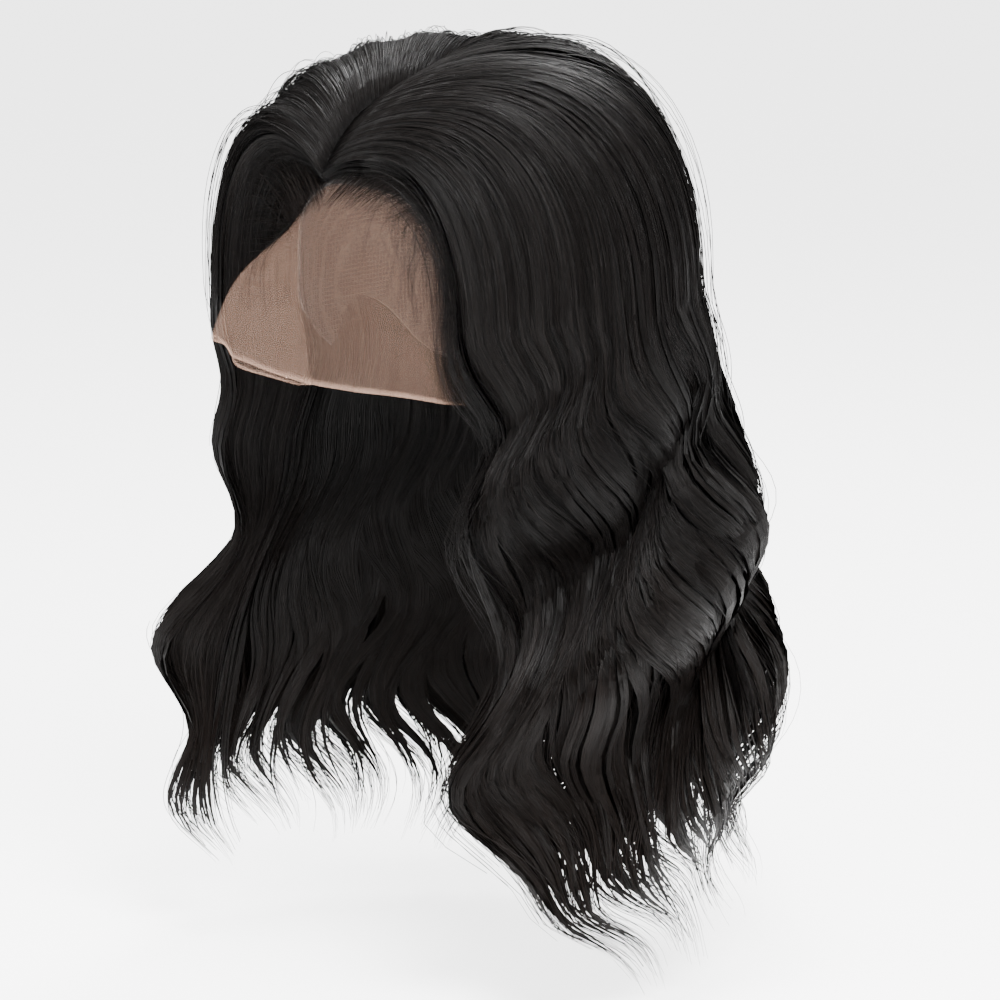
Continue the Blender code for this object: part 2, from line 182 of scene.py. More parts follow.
# %% Curves through tables
def smooth(at, xs, ys):
    """A cubic curve through the points of a table, level beyond its ends."""
    xs = np.asarray(xs, float)
    ys = np.asarray(ys, float)
    at = np.clip(at, xs[0], xs[-1])
    slopes = np.gradient(ys, xs)
    i = np.clip(np.searchsorted(xs, at, side="right") - 1, 0, len(xs) - 2)
    step = xs[i + 1] - xs[i]
    u = (at - xs[i]) / step
    rise = ys[i] * (1 + 2 * u) * (1 - u) ** 2 + ys[i + 1] * u * u * (3 - 2 * u)
    return rise + step * (slopes[i] * u * (1 - u) ** 2 - slopes[i + 1] * u * u * (1 - u))


def at_height(table, column, z):
    """One column of a table that has a z column, at an array of heights."""
    return smooth(-np.asarray(z, float), [-value for value in table["z"]], table[column])


def level(column, z):
    """One column of the table of levels, at an array of heights."""
    return at_height(LEVELS, column, z)


def ease(u):
    """0 to 1, level at both ends: three u squared less two u cubed."""
    u = np.clip(u, 0.0, 1.0)
    return u * u * (3 - 2 * u)


def between(low, high, u):
    """From low to high as u goes from 0 to 1, level at both ends."""
    return low + (high - low) * ease(u)


def unit(vectors):
    """The same directions, each one long: every vector over its length."""
    return vectors / np.maximum(np.linalg.norm(vectors, axis=-1, keepdims=True), 1e-9)


def hair_radius(bearing, z):
    """The hair's outer radius: each column of the table at the height, and then a cubic curve
    through the seven columns at the bearing."""
    rows = np.stack([level(name, z) for name in COLUMNS])
    xs = np.asarray(BEARINGS, float)
    at = np.clip(bearing, xs[0], xs[-1])
    slopes = np.gradient(rows, xs, axis=0)
    i = np.clip(np.searchsorted(xs, at, side="right") - 1, 0, len(xs) - 2)
    step = xs[i + 1] - xs[i]
    u = (at - xs[i]) / step

    def pick(table, index):
        return np.take_along_axis(table, index[None], axis=0)[0]

    rise = pick(rows, i) * (1 + 2 * u) * (1 - u) ** 2 + pick(rows, i + 1) * u * u * (3 - 2 * u)
    lean = pick(slopes, i) * u * (1 - u) ** 2 - pick(slopes, i + 1) * u * u * (1 - u)
    return rise + step * lean


def on_plan(radius, bearing, z):
    """Points at radii and bearings about the vertical axis, with +Y as bearing 0."""
    angle = np.radians(bearing)
    return np.stack([radius * np.sin(angle), radius * np.cos(angle), z + 0 * angle], axis=-1)


print("hair 300 mm down on the left:", hair_radius(np.array([90.0]), np.array([-300.0])).round(), "mm out")


# %% The cap's surface
def cap_radius(bearing):
    """The plan radius of the cap: a rounded oval, |x/76| and |y/96| to the power 2.4 adding to 1."""
    angle = np.radians(bearing)
    across = np.abs(np.sin(angle) / CAP_HALF_WIDTH) ** CAP_SQUARENESS
    along = np.abs(np.cos(angle) / CAP_HALF_LENGTH) ** CAP_SQUARENESS
    return (across + along) ** (-1 / CAP_SQUARENESS)


def skirt_radius(bearing, z):
    """The cap's radius below its widest level, drawn in to the nape."""
    share = ease((WIDEST_Z - z) / (WIDEST_Z - NAPE_Z))
    return cap_radius(bearing) * (1 + (NAPE_SHARE - 1) * share)


def bearing_of(share, z):
    """The bearing at a share of the way from the crown's bearing to the right or left front edge."""
    edge = np.where(share > 0, level("left_edge", z), level("right_edge", z))
    return share * edge + CROWN_TURN * (1 - np.abs(share))


def out_of_cap(at):
    """The direction straight out of the cap: the slope of the rounded dome."""
    sizes = np.array([CAP_HALF_WIDTH, CAP_HALF_LENGTH, CAP_RISE])
    local = (at - np.array([0, 0, WIDEST_Z])) / sizes
    local[..., 2] = np.maximum(local[..., 2], 0)
    return unit(np.sign(local) * np.abs(local) ** (CAP_SQUARENESS - 1) / sizes)


def on_dome(share, turn, out):
    """A point over the cap's dome, from the part (turn 0) down to the widest level (turn 1): a
    straight run in plan with the sine of a quarter turn, lifted to the rounded dome."""
    bearing = bearing_of(share, WIDEST_Z)
    end = on_plan(cap_radius(bearing), bearing, 0)[..., :2]
    start = PART_BACK + (PART_FRONT - PART_BACK) * (np.abs(share) ** PART_LEAN)[..., None]
    reach = np.sin(turn * math.pi / 2)
    plan = start + (end - start) * reach[..., None]
    plan[..., 1] -= HAIRLINE_BOW * np.sin(math.pi * reach) * np.abs(share) ** BOW_POWER
    across = np.abs(plan[..., 0] / CAP_HALF_WIDTH) ** CAP_SQUARENESS
    along = np.abs(plan[..., 1] / CAP_HALF_LENGTH) ** CAP_SQUARENESS
    height = WIDEST_Z + CAP_RISE * np.maximum(0, 1 - across - along) ** (1 / CAP_SQUARENESS)
    at = np.concatenate([plan, height[..., None]], axis=-1)
    return at + out_of_cap(at) * out


print("cap radius at the back and at the left:", cap_radius(np.array([0.0, 90.0])).round(), "mm")


# %% Hair over the dome and below it
def hair_dome(share, turn, depth, proud):
    """Hair over the cap: a quarter arc from the part out to the widest level, with a lift that
    follows the sine of twice the angle, and depth as the mix of that arc with the cap's surface."""
    inner = on_dome(share, turn, CAP_WALL + HAIR_GAP)
    root = on_dome(share, 0 * turn, CAP_WALL + HAIR_GAP + PART_HEIGHT)
    bearing = bearing_of(share, WIDEST_Z)
    end = on_plan(hair_radius(bearing, WIDEST_Z + 0 * bearing) + proud, bearing, WIDEST_Z)
    angle = turn * math.pi / 2
    arc = np.stack([np.sin(angle), np.sin(angle), 1 - np.cos(angle)], axis=-1)
    outer = root + (end - root) * arc
    drop = np.where(share > 0, LEFT_FRONT_DROP, RIGHT_FRONT_DROP) * np.abs(share) ** DROP_POWER
    lift = np.maximum(np.sin(2 * angle), 0) ** LIFT_FLATNESS
    outer[..., 2] += (CROWN_LIFT + proud) * lift * (1 - drop)
    return inner + (outer - inner) * depth[..., None]


def inner_radius(bearing, z, outer):
    """The hair's inner surface: on the cap, and standing free below it."""
    on_cap = skirt_radius(bearing, z) + CAP_WALL + HAIR_GAP
    free = outer - level("thickness", z)
    return on_cap + (np.maximum(free, on_cap) - on_cap) * ease((FREE_Z - z) / FREE_RUN)


def hair_fall(share, z, depth, sway, lift, flick):
    """Hair below the widest level: a bearing from its share, swung round by the wave's sway and the
    flick of its tip, at a radius between the inner surface and the outer one with its lift."""
    bearing = bearing_of(share, z)
    outer = hair_radius(bearing, z)
    turned = bearing + flick + np.degrees(sway / outer)
    inner = inner_radius(turned, z, outer)
    return on_plan(inner + (outer + lift - inner) * depth, turned, z)


# %% [markdown]
# ## The body wave
#
# Body wave hair is set round large rods, so a lock swings to one side and back while it also comes
# forward and falls back, a quarter of a wave later, like a stretched spring. Two fields give this
# for any bearing and height: sway, round the cap, and lift, away from it. Formulas keep the waves of
# neighbouring locks in step, which a wave bent into each lock by hand would not. On the left side,
# which the photograph shows large, the sway is wider and has its own timing.

# %% Sway and lift of the wave
WAVE_LENGTH = 112.0
WAVE_CREST_BACK = -159.0
WAVE_LAG_LEFT = 1.44
WAVE_LAG_RIGHT = 0.48
CALM_FROM = 0.7
EDGE_CALM = 0.5
SIDE_WAVE_LENGTH = 124.0
SIDE_CREST_Z = -115.0
SIDE_CREST_BEARING = 85.0
SIDE_LAG = 2.2
SIDE_FROM = 45.0
SIDE_BLEND = 30.0
SIDE_SWING = {
    "z":  [-107, -130, -160, -200, -240, -290, -340, -400, -470],
    "mm": [   0,    8,   22,   30,   32,   28,   24,   16,   10],
}
TROUGH = {
    "z":  [-107, -140, -180, -230, -300, -380, -470],
    "mm": [   0,    3,    8,   13,   15,   12,    6],
}


def wave_turn(bearing, z):
    """The wave's angle in radians: one turn for each wave length of height, lagging by some
    millimetres for each degree away from the back."""
    lag = np.where(bearing > 0, WAVE_LAG_LEFT, WAVE_LAG_RIGHT)
    return 2 * math.pi * (z - WAVE_CREST_BACK + lag * np.abs(bearing)) / WAVE_LENGTH


def wave_sway(share, bearing, z, late):
    """How far hair swings round, in millimetres: the cosine of the wave, blended on the left side
    to a wider one with its own length and lag, and calmed towards the front edges."""
    plain = level("swing", z) * np.cos(wave_turn(bearing, z) + late)
    crest = SIDE_CREST_Z - (bearing - SIDE_CREST_BEARING) * SIDE_LAG
    side_turn = 2 * math.pi * (z - crest) / SIDE_WAVE_LENGTH
    side = at_height(SIDE_SWING, "mm", z) * np.cos(side_turn + late)
    mix = ease((bearing - SIDE_FROM) / SIDE_BLEND)
    calm = 1 - EDGE_CALM * ease((np.abs(share) - CALM_FROM) / (1 - CALM_FROM))
    return (plain + (side - plain) * mix) * calm


def wave_lift(bearing, z, late):
    """How far hair stands out or sinks in, in millimetres: the wave's sine, with troughs that are
    deeper than its crests are high."""
    crest = np.sin(wave_turn(bearing, z) + late)
    trough = at_height(TROUGH, "mm", z)
    return level("bulge", z) * crest - trough * (1 - crest) / 2


print("widest sway on the left side:", max(SIDE_SWING["mm"]), "mm")


# %% [markdown]
# ## Strands as closed tapering tubes
#
# Hair is drawn here with two things: wisps, flat closed lofts a few millimetres wide that stand for
# hundreds of hairs lying together, and single hairs, which are three-sided tubes. Both are a small
# ring of corners carried along a path. A bevelled curve would do the same for one strand, but here
# the rings of many strands are worked out at once as one array: strand, station, corner.

# %% Rings along paths
def rings_along(paths, outward, half_width, half_thick, corners, twist=None):
    """Rings round paths. At each station the ring's flat side faces outward: its long axis is the
    path's direction crossed with outward, its short axis is square to both, both are turned about
    the path by the twist, and corner k stands at the angle 360 k / corners on that ellipse."""
    along = unit(np.gradient(paths, axis=1))
    side = unit(np.cross(along, outward))
    normal = np.cross(side, along)
    if twist is not None:
        cos, sin = np.cos(twist)[..., None], np.sin(twist)[..., None]
        side, normal = side * cos + normal * sin, normal * cos - side * sin
    angle = (2 * math.pi * np.arange(corners) / corners)[None, None]
    wide = np.cos(angle)[..., None] * side[:, :, None] * half_width[..., None, None]
    thick = np.sin(angle)[..., None] * normal[:, :, None] * half_thick[..., None, None]
    return paths[:, :, None] + wide + thick


def tube_faces(strands, stations, corners, first):
    """Corner numbers of all side quads and both end faces of tubes stored one after another."""
    s = np.arange(strands)[:, None, None]
    r = np.arange(stations - 1)[None, :, None]
    c = np.arange(corners)[None, None, :]
    base = first + (s * stations + r) * corners
    after = (c + 1) % corners
    quads = np.stack([base + c, base + corners + c, base + corners + after, base + after], axis=-1)
    ring = np.arange(corners)
    starts = first + (np.arange(strands) * stations * corners)[:, None] + ring
    stops = first + ((np.arange(strands) * stations + stations - 1) * corners)[:, None] + ring[::-1]
    return quads.reshape(-1, 4), np.concatenate([starts, stops])


def tube_uvs(strands, stations, corners, girth, length, offset):
    """A UV pair for each corner of each face, in metres: U round the strand from an offset of its
    own, and V the length down it."""
    shape = (strands, stations - 1, corners)
    c = np.broadcast_to(np.arange(corners)[None, None, :], shape)
    v = length[:, :-1, None] + np.zeros(shape)
    v_after = length[:, 1:, None] + np.zeros(shape)
    step = girth[:, None, None] / corners
    u = offset[:, None, None] + c * step
    quads = np.stack([u, v, u, v_after, u + step, v_after, u + step, v], axis=-1)
    end_shape = (strands, corners)
    end_u = np.broadcast_to(offset[:, None], end_shape)
    start = np.stack([end_u, np.zeros(end_shape)], axis=-1)
    stop = np.stack([end_u, np.broadcast_to(length[:, -1:], end_shape)], axis=-1)
    return quads.reshape(-1, 2), np.concatenate([start, stop]).reshape(-1, 2)


# %% A bundle of strands as one mesh
SHARP_ANGLE = 125
UV_SPREAD = 7.3
WISP_SLOT = 0
STRAND_SLOT = 1


class Bundle:
    """Gathers tubes, in millimetres, and then makes one mesh of them. The thin sides of a flat wisp
    are sharp edges, so that its face is shaded as a face and not as a round rope."""

    def __init__(self):
        self.points, self.along = [], []
        self.faces, self.uvs, self.slots = [], [], []
        self.count = 0

    def add(self, rings, place, along, girth, slot):
        """Adds the rings of some strands. For each strand, place is where its fibres start in the
        pattern, from 0 to 1, along is how far down the lock its stations lie, and girth is the way
        round it in millimetres. Slot is the finish."""
        strands, stations, corners, _ = rings.shape
        middle = rings.mean(axis=2)
        step = np.linalg.norm(np.diff(middle, axis=1), axis=-1)
        length = np.concatenate([np.zeros((strands, 1)), np.cumsum(step, axis=1)], axis=1) * MM
        quads, ends = tube_faces(strands, stations, corners, self.count)
        quad_uv, end_uv = tube_uvs(strands, stations, corners, girth * MM, length, place * UV_SPREAD)
        self.points.append(rings.reshape(-1, 3))
        self.along.append(np.repeat(along.reshape(-1), corners))
        self.faces += [quads, ends]
        self.uvs += [quad_uv, end_uv]
        self.slots += [np.full(len(quads), slot), np.full(len(ends), slot)]
        self.count += strands * stations * corners

    def make(self, name, materials):
        """One object of all the strands, with a UV map and how far down each point lies."""
        mesh = bpy.data.meshes.new(name)
        points = np.concatenate(self.points) * MM
        sizes = np.concatenate([np.full(len(f), f.shape[1]) for f in self.faces])
        corners = np.concatenate([f.reshape(-1) for f in self.faces])
        mesh.vertices.add(len(points))
        mesh.vertices.foreach_set("co", points.reshape(-1))
        mesh.loops.add(len(corners))
        mesh.loops.foreach_set("vertex_index", corners.astype(np.int32))
        mesh.polygons.add(len(sizes))
        starts = np.concatenate([[0], np.cumsum(sizes)[:-1]])
        mesh.polygons.foreach_set("loop_start", starts.astype(np.int32))
        mesh.polygons.foreach_set("material_index", np.concatenate(self.slots).astype(np.int32))
        mesh.uv_layers.new(name="hair").data.foreach_set("uv", np.concatenate(self.uvs).reshape(-1))
        layer = mesh.attributes.new("along", "FLOAT", "POINT")
        layer.data.foreach_set("value", np.concatenate(self.along).astype(np.float32))
        mesh.update(calc_edges=True)
        mesh.shade_smooth()
        mesh.set_sharp_from_angle(angle=math.radians(SHARP_ANGLE))
        for material in materials:
            mesh.materials.append(material)
        obj = bpy.data.objects.new(name, mesh)
        bpy.context.scene.collection.objects.link(obj)
        return obj


def triangles(obj):
    """How many triangles a mesh has."""
    return sum(len(p.vertices) - 2 for p in obj.data.polygons)


# %% [markdown]
# ## The finish of the hair
#
# The hair is near black, with a soft gloss that runs in streaks along it, because thousands of
# round fibres lie side by side. A hair shader could light each fibre, but the wisps stand for many
# fibres at once, so the plain shader is given a noise that is squeezed across the strand and
# stretched along it. It drives the bump, the roughness and a slight change of colour. Thin tips are
# dark brown, as black hair is where light gets through it.

# %% Fibre group
def new_group(name, inputs, outputs):
    """A shader node group with named inputs (name, socket type, default) and outputs."""
    group = bpy.data.node_groups.new(name, "ShaderNodeTree")
    for title, kind, value in inputs:
        socket = group.interface.new_socket(title, in_out="INPUT", socket_type=kind)
        if value is not None:
            socket.default_value = value
    for title, kind in outputs:
        group.interface.new_socket(title, in_out="OUTPUT", socket_type=kind)
    return group, group.nodes.new("NodeGroupInput"), group.nodes.new("NodeGroupOutput")


def math_node(tree, kind, *values):
    """A Math node with its first values set or linked."""
    node = tree.nodes.new("ShaderNodeMath")
    node.operation = kind
    for index, value in enumerate(values):
        if isinstance(value, (int, float)):
            node.inputs[index].default_value = value
        else:
            tree.links.new(value, node.inputs[index])
    return node.outputs[0]


MIX_FACTOR = 0
MIX_FROM = 6
MIX_TO = 7
MIX_RESULT = 2


def mix_colour(tree, factor, a, b):
    """A Mix node from colour a to colour b, each a tuple or a socket. The node has sockets for
    several kinds of data, and the numbers above are those for colours."""
    node = tree.nodes.new("ShaderNodeMix")
    node.data_type = "RGBA"
    tree.links.new(factor, node.inputs[MIX_FACTOR])
    for socket, value in ((node.inputs[MIX_FROM], a), (node.inputs[MIX_TO], b)):
        if isinstance(value, tuple):
            socket.default_value = (*value, 1)
        else:
            tree.links.new(value, socket)
    return node.outputs[MIX_RESULT]


def map_range(tree, value, low, high, to_low, to_high):
    """A Map Range node: values from low to high become values from to_low to to_high."""
    node = tree.nodes.new("ShaderNodeMapRange")
    tree.links.new(value, node.inputs[0])
    for index, number in enumerate((low, high, to_low, to_high)):
        node.inputs[index + 1].default_value = number
    return node.outputs[0]


def stretched_noise(tree, vector, scale, detail, roughness=0.5):
    """A noise whose coordinates are scaled by three numbers first."""
    mapping = tree.nodes.new("ShaderNodeMapping")
    tree.links.new(vector, mapping.inputs["Vector"])
    mapping.inputs["Scale"].default_value = scale
    noise = tree.nodes.new("ShaderNodeTexNoise")
    tree.links.new(mapping.outputs[0], noise.inputs["Vector"])
    noise.inputs["Scale"].default_value = 1.0
    noise.inputs["Detail"].default_value = detail
    noise.inputs["Roughness"].default_value = roughness
    return noise.outputs[0]


FIBRES_A_METRE = (2600, 14, 1)
STREAKS_A_METRE = (900, 6, 1)
CLUMPS_A_METRE = (220, 8, 1)
fibres, group_in, group_out = new_group(
    "hair_fibres",
    [("Vector", "NodeSocketVector", None)],
    [("Fibres", "NodeSocketFloat"), ("Streaks", "NodeSocketFloat"), ("Clumps", "NodeSocketFloat")],
)
on_hair = group_in.outputs["Vector"]
fine = stretched_noise(fibres, on_hair, FIBRES_A_METRE, detail=3.0, roughness=0.6)
streak = stretched_noise(fibres, on_hair, STREAKS_A_METRE, detail=2.0)
broad = stretched_noise(fibres, on_hair, CLUMPS_A_METRE, detail=1.0)
fibres.links.new(fine, group_out.inputs["Fibres"])
fibres.links.new(streak, group_out.inputs["Streaks"])
fibres.links.new(broad, group_out.inputs["Clumps"])
print("hair_fibres has", len(fibres.nodes), "nodes")

# %% Hair materials
BLACK = (0.0008, 0.0007, 0.0007)
SOFT_BLACK = (0.0062, 0.0050, 0.0046)
TIP_BROWN = (0.012, 0.006, 0.0035)
SHINE_ACROSS = 0.75
BUMP_DEPTH = 0.0022
NOISE_LOW = 0.3
NOISE_HIGH = 0.7
BROWN_FROM = 0.55
BROWN_MOST = 0.55
SMOOTHER = 0.07
ROUGHER = 0.10
FIBRE_HEIGHT = 0.8


def principled(name):
    """A material with its Principled shader and node tree."""
    material = bpy.data.materials.new(name)
    material.use_nodes = True
    return material, material.node_tree, material.node_tree.nodes["Principled BSDF"]


def attribute(tree, name):
    """The number that a mesh attribute holds."""
    node = tree.nodes.new("ShaderNodeAttribute")
    node.attribute_name = name
    return node.outputs["Fac"]


def hair_finish(name, roughness, gloss, bump):
    """Black hair: streaked colour and roughness over a fibre bump, browner towards the tips."""
    material, tree, shader = principled(name)
    uv = tree.nodes.new("ShaderNodeUVMap")
    uv.uv_map = "hair"
    group = tree.nodes.new("ShaderNodeGroup")
    group.node_tree = fibres
    tree.links.new(uv.outputs[0], group.inputs["Vector"])
    streaks = map_range(tree, group.outputs["Streaks"], NOISE_LOW, NOISE_HIGH, 0.0, 1.0)
    mixed = mix_colour(tree, streaks, BLACK, SOFT_BLACK)
    tip = map_range(tree, attribute(tree, "along"), BROWN_FROM, 1.0, 0.0, BROWN_MOST)
    brown = math_node(tree, "MULTIPLY", tip, group.outputs["Clumps"])
    tree.links.new(mix_colour(tree, brown, mixed, TIP_BROWN), shader.inputs["Base Color"])
    smoothest, roughest = roughness - SMOOTHER, roughness + ROUGHER
    rough = map_range(tree, group.outputs["Fibres"], NOISE_LOW, NOISE_HIGH, smoothest, roughest)
    tree.links.new(rough, shader.inputs["Roughness"])
    shader.inputs["Specular IOR Level"].default_value = gloss
    if bump:
        across = tree.nodes.new("ShaderNodeTangent")
        across.direction_type = "UV_MAP"
        across.uv_map = "hair"
        tree.links.new(across.outputs[0], shader.inputs["Tangent"])
        shader.inputs["Anisotropic"].default_value = SHINE_ACROSS
        finer = math_node(tree, "MULTIPLY", group.outputs["Fibres"], FIBRE_HEIGHT)
        height = math_node(tree, "ADD", group.outputs["Streaks"], finer)
        node = tree.nodes.new("ShaderNodeBump")
        node.inputs["Strength"].default_value = bump
        node.inputs["Distance"].default_value = BUMP_DEPTH
        tree.links.new(height, node.inputs["Height"])
        tree.links.new(node.outputs[0], shader.inputs["Normal"])
    return material


wisp_finish = hair_finish("hair_wisps", roughness=0.36, gloss=0.10, bump=0.8)
strand_finish = hair_finish("hair_strands", roughness=0.42, gloss=0.08, bump=0.0)
print("hair finishes:", wisp_finish.name, "and", strand_finish.name)

# %% [markdown]
# ## A lock of hair
#
# Each lock of the solid model is made again from three things. A closed body with fine grooves
# along it lies just under the surface and stops light. Wisps lie over it and come out of it, sorted
# into tresses that wave a little early or late, so that they part and cross as they fall. Single
# hairs run over both, and some of them stray. Hairs alone could fill the lock, but it would take
# many thousands of them to hide what lies behind.

# %% Paths of the hair in a lock
DOME_SHARE = 0.34
TIP_START = 0.74
TIP_RUN = 0.42
TIP_TAPER = 0.70
MID_DEPTH = 0.5
WAVE_SET_IN = 0.25
ROOT_RISE = 6


def hair_paths(share, down, depth, tip_z, middle, proud, flick, late, sink, swing=1.0):
    """Paths of many hairs at once, strand by station. Over the dome, depth is along a quarter arc.
    Below it the hair falls to its tip, waving at its own bearing, drawn in to the lock's middle and
    flicked round near the tip. Late shifts its wave, swing widens or calms it, and sink pushes the
    hair in."""
    share, depth, tip_z = share + 0 * down, depth + 0 * down, tip_z + 0 * down
    proud, late = proud + 0 * down, late + 0 * down
    over = np.clip(down / DOME_SHARE, 0, 1)
    fall = np.clip((down - DOME_SHARE) / (1 - DOME_SHARE), 0, 1)
    z = WIDEST_Z + (tip_z - WIDEST_Z) * fall
    tip = ease((fall - TIP_START) / TIP_RUN)
    narrow = 1 - TIP_TAPER * tip
    drawn = middle + (share - middle) * narrow
    bearing = bearing_of(drawn, z)
    start = ease(fall / WAVE_SET_IN)
    sway = wave_sway(drawn, bearing, z, late * start) * swing
    lift = wave_lift(bearing, z, late) * start + proud - sink * start
    on_top = hair_dome(share, over, depth, proud * ease(down * ROOT_RISE))
    narrow_depth = MID_DEPTH + (depth - MID_DEPTH) * narrow
    below = hair_fall(drawn, z, narrow_depth, sway, lift, flick * tip)
    return np.where((down < DOME_SHARE)[..., None], on_top, below)


def outward_of(paths):
    """Roughly away from the middle of the cap: up over the dome, and level below it."""
    out = paths.copy()
    out[..., 2] = np.maximum(out[..., 2] - WIDEST_Z, 0)
    return unit(out)


print("a lock lies over the dome for", round(DOME_SHARE * 100), "% of its way and falls for the rest")


# %% The body of a lock
BODY_CORNERS = 36
BODY_STATIONS = 72
BODY_END = 0.975
BODY_CLOSE = 0.34
BODY_OUTER = 0.90
BODY_INNER = 0.05
GROOVE = 0.035
GROOVE_KNOTS = 9
BODY_START = 0.004
BODY_OVERLAP = 1.04
BODY_SIDE_POWER = 0.8
BODY_FACE_POWER = 0.35
BODY_SINK = 2.0
BODY_GIRTH = 170.0
POINT_SIZE = 0.02


def wander(random, strands, down, knots):
    """A smooth random number from -1 to 1 for each strand, which changes slowly down it: random
    knots, eased between."""
    values = random.uniform(-1, 1, (strands, knots + 1))
    at = np.clip(down, 0, 1) * (knots - 1)
    low = np.minimum(at.astype(int), knots - 1)
    row = np.arange(strands)[:, None]
    start, stop = values[row, low], values[row, low + 1]
    return start + (stop - start) * ease(at - low)


def body_rings(random, start, stop, tip_z, proud, flick):
    """The body of a lock: a rounded ring in share and depth, the cosine and the sine of its angle
    each to a power, with grooves in its depth. It runs from the part to near the tip, where it
    closes to a point."""
    angle = 2 * math.pi * np.arange(BODY_CORNERS) / BODY_CORNERS
    middle, half = (start + stop) / 2, (stop - start) / 2
    width = np.sign(np.cos(angle)) * np.abs(np.cos(angle)) ** BODY_SIDE_POWER
    height = np.sign(np.sin(angle)) * np.abs(np.sin(angle)) ** BODY_FACE_POWER
    share = middle + half * BODY_OVERLAP * width
    depth = (BODY_OUTER + BODY_INNER) / 2 + (BODY_OUTER - BODY_INNER) / 2 * height
    stations = np.linspace(BODY_START, BODY_END, BODY_STATIONS)
    down = np.broadcast_to(stations, (BODY_CORNERS, BODY_STATIONS))
    grooved = depth[:, None] + GROOVE * wander(random, BODY_CORNERS, down, GROOVE_KNOTS)
    raised = (proud * (1 - ((share - middle) / half) ** 2))[:, None]
    paths = hair_paths(share[:, None], down, grooved, tip_z, middle, raised, flick, 0.0, BODY_SINK)
    closing = np.maximum(ease((BODY_END - down) / BODY_CLOSE), POINT_SIZE)[..., None]
    centre = paths.mean(axis=0, keepdims=True)
    paths = centre + (paths - centre) * closing
    return paths.transpose(1, 0, 2)[None], down[:1]


print("a lock's body has", BODY_CORNERS * BODY_STATIONS, "points")


# %% Wisps of a lock
TRESSES = 3
TRESS_ROUND = 3.2
TRESS_HALF_WIDTH = 8.0
TRESS_SPREAD = 1.5
TRESS_GATHER = 0.6
TRESS_DRIFT = 0.022
TRESS_LATE = 0.42
TRESS_SWING = (0.5, 1.1)
TRESS_SINK = (-0.5, 4.0)
TRESS_SHORTER = (0, 26)
SPREAD_FROM = 0.15
SPREAD_RUN = 0.3
GATHER_FROM = 0.62
GATHER_RUN = 0.4
WISP_CORNERS = 4
WISP_STATIONS = 46
WISP_END = (0.90, 1.0)
WISP_ASIDE = 0.2
WISP_DEEPER = 0.008
WISP_WEAVE = 0.010
WISP_LATE = 0.06
WISP_TAPER = 0.26
WISP_ROOT = 0.4
WISP_TWIST = 0.22
ROOT_RUN = 3
SIZES = (0.7, 1.3)
DRIFT_KNOTS = 6
TWIST_KNOTS = 7
LAYERS = [
    # depth, wisps a tress, half width, half thickness
    (0.97, 9, 3.0, 0.22),
    (0.90, 4, 4.6, 0.30),
    (0.02, 5, 4.2, 0.30),
]


def stations_of(begin, end, stations):
    """How far down the lock each station of each strand lies."""
    return begin[:, None] + (end - begin)[:, None] * np.linspace(0, 1, stations)


def add_wisps(bundle, random, row):
    """Flat wisps in layers, tress by tress. A tress is rounded: its wisps stand out less the square
    of their place across it, and lean with that slope. Each tress has its own timing, width of
    swing and slow drift, so that tresses part, cross and cover each other."""
    start, stop, tip_z, proud, flick = row[1:]
    middle, half = (start + stop) / 2, (stop - start) / 2
    for tress in range(TRESSES):
        tress_middle = start + (stop - start) * (tress + 0.5) / TRESSES
        tress_late = random.normal(0, TRESS_LATE)
        swing = random.uniform(*TRESS_SWING)
        sink = random.uniform(*TRESS_SINK)
        tress_tip = tip_z + random.uniform(*TRESS_SHORTER)
        for depth, count, half_width, half_thick in LAYERS:
            place = (np.arange(count) + 0.5) / count * 2 - 1
            place = place + random.uniform(-WISP_ASIDE, WISP_ASIDE, count)
            down = stations_of(np.zeros(count), random.uniform(*WISP_END, count), WISP_STATIONS)
            falling = ease((down - SPREAD_FROM) / SPREAD_RUN)
            gathered = 1 - TRESS_GATHER * ease((down - GATHER_FROM) / GATHER_RUN)
            drift = TRESS_DRIFT * wander(random, 1, down[:1], DRIFT_KNOTS) * falling
            spread = (1 + (TRESS_SPREAD - 1) * falling) * gathered
            share = tress_middle + (place * half / TRESSES)[:, None] * spread + drift
            depths = depth + random.normal(0, WISP_DEEPER, count)[:, None]
            depths = depths + WISP_WEAVE * wander(random, count, down, DRIFT_KNOTS)
            facing = 1.0 if depth > MID_DEPTH else 0.0
            rounded = facing * TRESS_ROUND * (1 - place[:, None] ** 2) * falling
            raised = proud * (1 - ((share - middle) / half) ** 2) + rounded
            late = (tress_late + random.normal(0, WISP_LATE, count))[:, None]
            paths = hair_paths(share, down, depths, tress_tip, middle, raised, flick, late, sink, swing)
            taper = between(POINT_SIZE, 1, (down[:, -1:] - down) / WISP_TAPER)
            width = half_width * random.uniform(*SIZES, count)[:, None]
            width = width * between(WISP_ROOT, 1, down * ROOT_RUN) * taper
            thick = half_thick * (1 + taper) / 2
            lean = -np.arctan(2 * TRESS_ROUND * place / TRESS_HALF_WIDTH)[:, None] * falling * facing
            twist = lean + WISP_TWIST * wander(random, count, down, TWIST_KNOTS)
            rings = rings_along(paths, outward_of(paths), width, thick, WISP_CORNERS, twist)
            girth = np.full(count, half_width * 4)
            bundle.add(rings, random.random(count), down, girth, WISP_SLOT)


